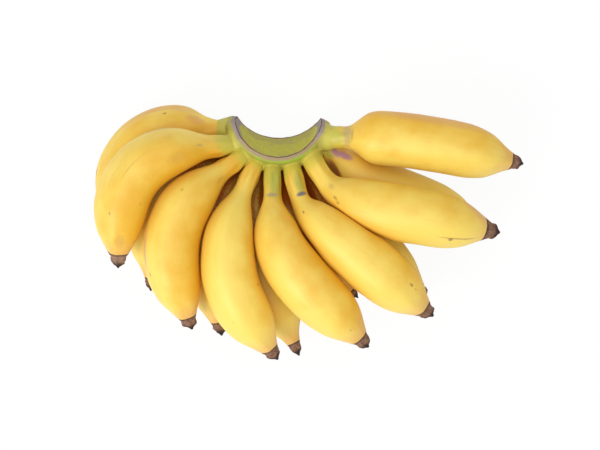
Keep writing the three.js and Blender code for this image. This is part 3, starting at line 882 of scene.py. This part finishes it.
@dataclass
class Crown:
    """The crown: grown together with the roots of the stems, then cut round the stalk."""

    bananas: list[Banana]
    lean: float = math.radians(22)  # the stalk's axis leans back from upright
    cut_radius: float = 25.8 * MM
    inset: float = 4 * MM  # how far the body reaches past the cut before it is cut
    voxel: float = 0.5 * MM
    smoothing: int = 12
    lower_spread: float = 1.12  # how much thicker the lower row's roots are, which closes the gaps
    cut_facets: int = 48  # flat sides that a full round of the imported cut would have
    root_sides: int = 20
    # Millimetres along a stem from its start, and the root's width as a part of the stem's own.
    root_profile: tuple = ((-9, 1.12), (-6, 1.22), (-3.5, 1.24), (-1, 1.12), (2, 1.0), (5.5, 0.85))
    cut_waver: float = 0.12 * MM  # how uneven the cut is
    cut_waver_size: float = 2.5 * MM
    back: tuple[float, float] = (-4 * MM, 12 * MM)  # down the axis, where the cut nears its back
    knuckle_out: tuple[float, float] = (1.0, 1.7)  # how far out a stem's look fades, in its radii
    knuckle_along: tuple[float, float] = (-7.0, 0.0)  # mm along a stem, where its look starts
    fresh: tuple[float, float] = (28.0, 60.0)  # degrees round the axis, where the green fades
    horn: tuple[float, float] = (46.0, 62.0)  # and where the edge goes grey
    axis_point: Array = field(init=False)

    @property
    def axis(self) -> Array:
        """The way the stalk's axis runs, upwards."""
        return np.array((0, -math.sin(self.lean), math.cos(self.lean)))

    def find_axis(self, points: Array, triangles: Array) -> Array:
        """Finds a point on the stalk's axis from the facets of the cut, which all face it.

        Args:
            points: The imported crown's points.
            triangles: Its triangles.

        Returns:
            The point.
        """
        corners = points[triangles]
        normals = np.cross(corners[:, 1] - corners[:, 0], corners[:, 2] - corners[:, 0])
        area = np.linalg.norm(normals, axis=1)
        normals = unit(normals)
        upright, forward = 0.004, 0.2  # how square to the axis, and how far to +Y, a facet faces
        faces_axis = (np.abs(normals @ self.axis) < upright) & (normals[:, 1] > forward)
        flat = self.cut_radius * math.cos(math.pi / self.cut_facets)
        meets = corners.mean(1) + normals * flat
        meets = meets - np.outer(meets @ self.axis, self.axis)
        weights = area * faces_axis
        middle = np.average(meets, axis=0, weights=weights)
        close = np.linalg.norm(meets - middle, axis=1) < 1 * MM
        return np.average(meets, axis=0, weights=weights * close)

    def about_axis(self, points: Array) -> tuple[Array, Array, Array]:
        """Measures points from the stalk's axis.

        Args:
            points: The points.

        Returns:
            Their spokes from the axis, the spokes' lengths, and the places along the axis.
        """
        rest = points - self.axis_point
        along = rest @ self.axis
        spokes = rest - np.outer(along, self.axis)
        return spokes, np.linalg.norm(spokes, axis=1), along

    def root(self, banana: Banana) -> tuple[Array, list]:
        """Makes the root of one stem, a cone that widens into the crown.

        Args:
            banana: The banana whose stem it is.

        Returns:
            Its points and faces.
        """
        start, way, radius = banana.stem_start, banana.stem_way, banana.stem_radius
        side = unit(np.cross(way, (0, 0, 1)))
        over = np.cross(side, way)
        if banana.name.startswith("banana_lower"):
            radius *= self.lower_spread
        turn = np.arange(self.root_sides) / self.root_sides * TAU
        spokes = np.outer(np.cos(turn), side) + np.outer(np.sin(turn), over)
        rows = [start + way * at * MM + spokes * radius * wide for at, wide in self.root_profile]
        ends = [rows[0].mean(0), rows[-1].mean(0)]
        points = np.concatenate([np.concatenate(rows), ends])
        return points, grid_faces(len(rows), self.root_sides)

    def grow(self) -> Object:
        """Grows the crown and the roots into one smooth body.

        Returns:
            The body, not yet cut.
        """
        points, triangles = packed_mesh("crown")
        self.axis_point = self.find_axis(points, triangles)
        spokes, reach, _ = self.about_axis(points)
        on_cut = reach < self.cut_radius + 0.2 * MM
        points[on_cut] -= unit(spokes[on_cut]) * self.inset
        faces = [tuple(t) for t in triangles]
        for banana in self.bananas:
            more, more_faces = self.root(banana)
            faces += [tuple(i + len(points) for i in face) for face in more_faces]
            points = np.concatenate([points, more])
        body = make_object("crown_flesh", points, faces)
        remesh = body.modifiers.new("grow_together", "REMESH")
        remesh.mode, remesh.voxel_size = "VOXEL", self.voxel
        smooth = body.modifiers.new("soften", "SMOOTH")
        smooth.iterations, smooth.factor = self.smoothing, 0.5
        bpy.context.view_layer.update()
        grown = bpy.data.meshes.new_from_object(
            body.evaluated_get(bpy.context.evaluated_depsgraph_get())
        )
        keep_largest(grown)
        body.modifiers.clear()
        body.data = grown
        return body

    def rim_distance(self, body: Object, points: Array, on_cut: Array) -> Array:
        """Measures how far points are from the edge of the cut, less than 0 on the cut itself.

        Args:
            body: The crown.
            points: Its points.
            on_cut: Which of them are on the cut.

        Returns:
            The distances in metres.
        """
        edges = np.zeros(len(body.data.edges) * 2, int)
        body.data.edges.foreach_get("vertices", edges)
        edges = edges.reshape(-1, 2)
        crossing = edges[on_cut[edges[:, 0]] != on_cut[edges[:, 1]]]
        rim = points[crossing].mean(1)
        tree = KDTree(len(rim))
        for number, point in enumerate(rim):
            tree.insert(point, number)
        tree.balance()
        away = np.array([tree.find(point)[2] for point in points])
        return np.where(on_cut, -away, away)

    def knuckles(self, points: Array) -> Array:
        """Finds how far points have passed from the crown's skin onto the root of a stem.

        Args:
            points: The points.

        Returns:
            0 on the crown, rising to 1 where a stem starts.
        """
        most = np.zeros(len(points))
        for banana in self.bananas:
            rest = points - banana.stem_start
            along = rest @ banana.stem_way
            off = np.linalg.norm(rest - np.outer(along, banana.stem_way), axis=1)
            near = 1 - ease(off / banana.stem_radius, *self.knuckle_out)
            most = np.maximum(most, near * ease(along / MM, *self.knuckle_along))
        return most

    def build(self, finish: CrownFinish) -> Object:
        """Grows, cuts and dresses the crown.

        Args:
            finish: Its finish.

        Returns:
            The piece.
        """
        body = self.grow()
        points = mesh_points(body.data)
        spokes, reach, along = self.about_axis(points)
        on_cut = reach < self.cut_radius
        waver = self.cut_waver * ripple(points, self.cut_waver_size, 5)
        radius = np.where(on_cut, self.cut_radius + waver, reach)
        points = self.axis_point + np.outer(along, self.axis) + unit(spokes) * radius[:, None]
        points[:, 2] = np.maximum(points[:, 2], 0)
        body.data.vertices.foreach_set("co", points.astype(np.float32).ravel())
        body.data.polygons.foreach_set("use_smooth", [True] * len(body.data.polygons))
        body.data.update()

        spokes, reach, along = self.about_axis(points)
        turn = np.arctan2(spokes[:, 0], -spokes[:, 1])
        paint(body, "place_mm", np.stack([turn * self.cut_radius, reach, along], axis=1) / MM)
        paint(body, "rim_mm", self.rim_distance(body, points, on_cut) / MM)
        paint(body, "knuckle", self.knuckles(points))
        paint(body, "fresh", 1 - ease(np.abs(np.degrees(turn)), *self.fresh))
        paint(body, "far", ease(np.abs(np.degrees(turn)), *self.horn))
        paint(body, "back", ease(-along, *self.back))
        body.data.materials.clear()
        body.data.materials.append(finish.material())
        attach(body, "root")
        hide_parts("crown")
        return body


# ---- studio -------------------------------------------------------------------------------------


@dataclass(frozen=True)
class Lamp:
    """A square soft lamp that faces the middle of the hand."""

    name: str
    place: tuple[float, float, float]  # metres
    size: float  # metres, its side
    power: float  # watts


@dataclass
class Studio:
    """A pale table under soft light, and the camera that looks straight down at it."""

    camera_x: float = -3.267 * MM
    camera_y: float = 3.308 * MM
    camera_height: float = 820 * MM
    lens: float = 84.6  # mm
    sensor: float = 36.0  # mm
    table: float = 4.0  # metres across
    table_drop: float = 0.05 * MM
    table_colour: str = "#f7f7f7"
    table_white: float = 0.93  # how much of the table the camera sees as plain white
    air: float = 0.57  # the light from all round
    lamps: tuple[Lamp, ...] = (
        Lamp("key_softbox", (-0.75, -0.75, 0.95), 0.7, 9.7),
        Lamp("overhead_softbox", (0.0, 0.1, 1.6), 1.6, 11.0),
    )
    aim: tuple[float, float, float] = (0, 0, 0.03)  # metres, what the lamps face

    def build_camera(self) -> None:
        """Places the camera above the hand, with +Y up the frame."""
        camera = bpy.data.objects.new("camera", bpy.data.cameras.new("camera"))
        camera.data.sensor_width = self.sensor
        camera.data.lens = self.lens
        camera.location = (self.camera_x, self.camera_y, self.camera_height)
        camera.data.clip_start = 10 * MM
        bpy.context.scene.collection.objects.link(camera)
        bpy.context.scene.camera = camera

    def build_table(self) -> None:
        """Lays the table: matt white, lifted towards plain white for the camera only."""
        half = self.table / 2
        z = -self.table_drop
        corners = [(-half, -half, z), (half, -half, z), (half, half, z), (-half, half, z)]
        table = make_object("table", np.array(corners), [(0, 1, 2, 3)])
        material, add = start_material("table_matt_white")
        matt = add(
            "NodeBsdfPrincipled",
            {"Base Color": linear(self.table_colour), "Roughness": 0.9, "Specular IOR Level": 0.1},
        )
        white = add("NodeEmission", {"Color": (1, 1, 1, 1), "Strength": 1.0})
        path = add("NodeLightPath").outputs
        lifted = add("NodeMath", {0: path["Is Camera Ray"], 1: self.table_white}, **TIMES)
        surface = add("NodeMixShader", {0: lifted, 1: matt.outputs[0], 2: white})
        add("NodeOutputMaterial", {"Surface": surface})
        table.data.materials.append(material)

    def build_light(self) -> None:
        """Lights the hand softly from the lower left, with plenty from all round."""
        for lamp in self.lamps:
            hung = bpy.data.objects.new(lamp.name, bpy.data.lights.new(lamp.name, "AREA"))
            hung.data.size, hung.data.energy = lamp.size, lamp.power
            hung.location = lamp.place
            way = Vector(self.aim) - Vector(lamp.place)
            hung.rotation_mode = "QUATERNION"
            hung.rotation_quaternion = way.to_track_quat("-Z", "Y")
            bpy.context.scene.collection.objects.link(hung)
        world = bpy.data.worlds.new("studio_air")
        world.use_nodes = True
        world.node_tree.nodes.clear()
        add = partial(add_node, world.node_tree)
        air = add("NodeBackground", {"Color": (1, 1, 1, 1), "Strength": self.air})
        seen = add("NodeBackground", {"Color": (1, 1, 1, 1), "Strength": 1.0})
        path = add("NodeLightPath").outputs
        mixed = add("NodeMixShader", {0: path["Is Camera Ray"], 1: air, 2: seen})
        add("NodeOutputWorld", {"Surface": mixed})
        bpy.context.scene.world = world
        bpy.context.scene.view_settings.view_transform = "Standard"


# ---- the whole hand -----------------------------------------------------------------------------

# Sap and painted shade spread further over the lower row, between the upper stems.
under_stems = partial(Look, sap_and_shade=(5.0, 12.0), sap_and_shade_under=False)
LOOKS = {
    "banana_upper_1": Look(
        ripeness=0.5,
        green=17.0,
        husk=1.15,
        bleached=0.2,
        marks=(
            Mark(7, 84, 14, 12, Tint.GREEN, 0.35),
            Mark(81, 74, 1.8, 1.5, Tint.SCAR, 0.6),
            Mark(58, 78, 20, 0.9, Tint.SCAR, 0.4),
            Mark(47, 90, 10, 0.8, Tint.SCAR, 0.35),
            Mark(36, 112, 16, 9, Tint.BRUISE, 0.25),
            Mark(64, 62, 18, 8, Tint.BRUISE, 0.2),
            Mark(73, 134, 3, 1.4, Tint.BRUISE, 0.5),
            Mark(22, 86, 5, 1.4, Tint.GREY, 0.45),
            Mark(37, 12, 22, 6, Tint.BRUISE, 0.35),
            Mark(95, 100, 10, 8, Tint.BRUISE, 0.3),
        ),
    ),
    "banana_upper_2": Look(
        ripeness=0.4,
        marks=(
            Mark(41, 66, 2.2, 1.8, Tint.SCAR, 0.4),
            Mark(44.2, 63, 1.4, 1.2, Tint.SCAR, 0.3),
            Mark(71, 22, 24, 2.6, Tint.BLUSH, 0.5),
            Mark(81, 34, 3, 1.6, Tint.SCAR, 0.6),
            Mark(94, 12, 5, 2.2, Tint.SCAR, 0.5),
            Mark(22, 120, 9, 3, Tint.BRUISE, 0.35),
        ),
    ),
    "banana_upper_3": Look(
        ripeness=0.0,
        green=7.0,
        husk=0.8,
        neck=0.14,
        marks=(
            Mark(78, 151, 2.4, 1.6, Tint.SCAR, 0.65),
            Mark(90, 60, 1.8, 1.4, Tint.SCAR, 0.4),
        ),
    ),
    "banana_upper_4": Look(
        ripeness=0.3,
        green=24.0,
        marks=(
            Mark(14, 115, 24, 9, Tint.GREEN, 0.55),
            Mark(20.5, 96, 4, 9, Tint.GREY, 0.55),
            Mark(106, 89, 1.6, 1.3, Tint.SCAR, 0.5),
        ),
    ),
    "banana_upper_5": Look(
        ripeness=0.1,
        green=17.0,
        marks=(
            Mark(21.8, 112, 3.2, 7.0, Tint.SLATE, 0.8),
            Mark(14, 118, 18, 7, Tint.GREEN, 0.55),
            Mark(33, 77, 2.2, 1.6, Tint.SCAR, 0.6),
            Mark(98, 114, 3, 1.8, Tint.SCAR, 0.6),
            Mark(101.6, 114, 1.8, 1.2, Tint.SCAR, 0.5),
        ),
    ),
    "banana_upper_6": Look(
        ripeness=0.1,
        husk=1.8,
        marks=(
            Mark(32, 74, 3.4, 1.8, Tint.SCAR, 0.5),
            Mark(34.5, 69, 2.6, 1.8, Tint.SCAR, 0.5),
            Mark(96, 54, 24, 1.3, Tint.SCAR, 0.6),
            Mark(91.8, 50, 2.6, 2.4, Tint.SCAR, 0.7),
            Mark(26, 91, 6, 4, Tint.BRUISE, 0.35),
            # A tan patch near the flower end, partly tan peel and partly painted shade along the top
            # edge, on the side turned from the light.
            Mark(106, 155, 22, 14, Tint.TAN, 0.55),
        ),
    ),
    "banana_upper_7": Look(
        ripeness=0.3,
        green=11.0,
        husk=0.7,
        neck=0.16,
        marks=(
            Mark(13.4, 96, 2, 9, Tint.DARK, 0.4),
            Mark(10, 100, 8, 18, Tint.GREY, 0.45),
            Mark(6, 90, 12, 10, Tint.GREEN, 0.45),
            # The tan band along the top edge is painted shade, on the side turned from the light.
            Mark(55, 150, 70, 13, Tint.TAN, 0.5),
        ),
    ),
    "banana_lower_1": Look(
        ripeness=0.6,
        green=3.0,
        sap_and_shade=(0.8, 3.0),
        sap_and_shade_under=False,
        marks=(
            Mark(31.5, 49, 2, 1.8, Tint.SCAR, 0.7),
            Mark(73, 12, 4.5, 2.4, Tint.SCAR, 0.7),
            Mark(34, 22, 44, 9, Tint.TAN, 0.5),
            Mark(24, 28, 22, 8, Tint.BLUSH, 0.3),
            Mark(16, 60, 12, 7, Tint.TAN, 0.5),
        ),
    ),
    "banana_lower_2": under_stems(ripeness=0.0, husk=0.4, swell=0.7, neck=0.25),
    # Lower 3, 4 and 6 are set paler, painted light where the upper row shades them.
    "banana_lower_3": under_stems(ripeness=-0.3, husk=0.5, neck=0.16),
    "banana_lower_4": under_stems(ripeness=-0.4, husk=0.5, neck=0.32),
    "banana_lower_5": under_stems(ripeness=0.4, husk=0.1, neck=0.4),
    "banana_lower_6": under_stems(
        ripeness=-0.3,
        husk=0.7,
        marks=(Mark(99, 140, 3.5, 1.8, Tint.DARK, 0.8),),
    ),
    "banana_lower_7": Look(
        # Set paler: painted light where the upper bananas shade it.
        ripeness=-0.6,
        green=9.0,
        sap_and_shade_under=False,
        marks=(
            Mark(8, 100, 9, 5, Tint.BLUSH, 0.65),
            Mark(13, 112, 11, 5, Tint.BLUSH, 0.7),
            Mark(14, 48, 15, 5, Tint.RUST, 0.7),
            Mark(6, 85, 9, 8, Tint.GREEN, 0.5),
        ),
    ),
}


def other_surfaces(name: str, names: list[str]) -> BVHTree:
    """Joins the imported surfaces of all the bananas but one, for measuring gaps.

    Args:
        name: The banana that is left out.
        names: All the bananas.

    Returns:
        The surfaces, ready to be searched.
    """
    points, triangles, count = [], [], 0
    for other in names:
        if other == name:
            continue
        more, faces = packed_mesh(other)
        points += more.tolist()
        triangles += (faces + count).tolist()
        count = len(points)
    return BVHTree.FromPolygons(points, triangles, all_triangles=True)


def main() -> None:
    """Builds the hand, piece by piece, and the studio round it."""
    logging.basicConfig(level=logging.INFO, format="%(message)s")
    studio = Studio()
    studio.build_camera()
    studio.build_table()
    studio.build_light()
    peel = PeelFinish().material()
    names = sorted(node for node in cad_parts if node.startswith("banana_"))
    bananas = [Banana(name, number, LOOKS[name]) for number, name in enumerate(names)]
    for banana in bananas:
        piece = banana.build(peel, other_surfaces(banana.name, names))
        LOG.info("%s: %d faces", piece.name, len(piece.data.polygons))
    crown = Crown(bananas).build(CrownFinish())
    LOG.info("%s: %d faces", crown.name, len(crown.data.polygons))


if __name__ == "__main__":
    main()
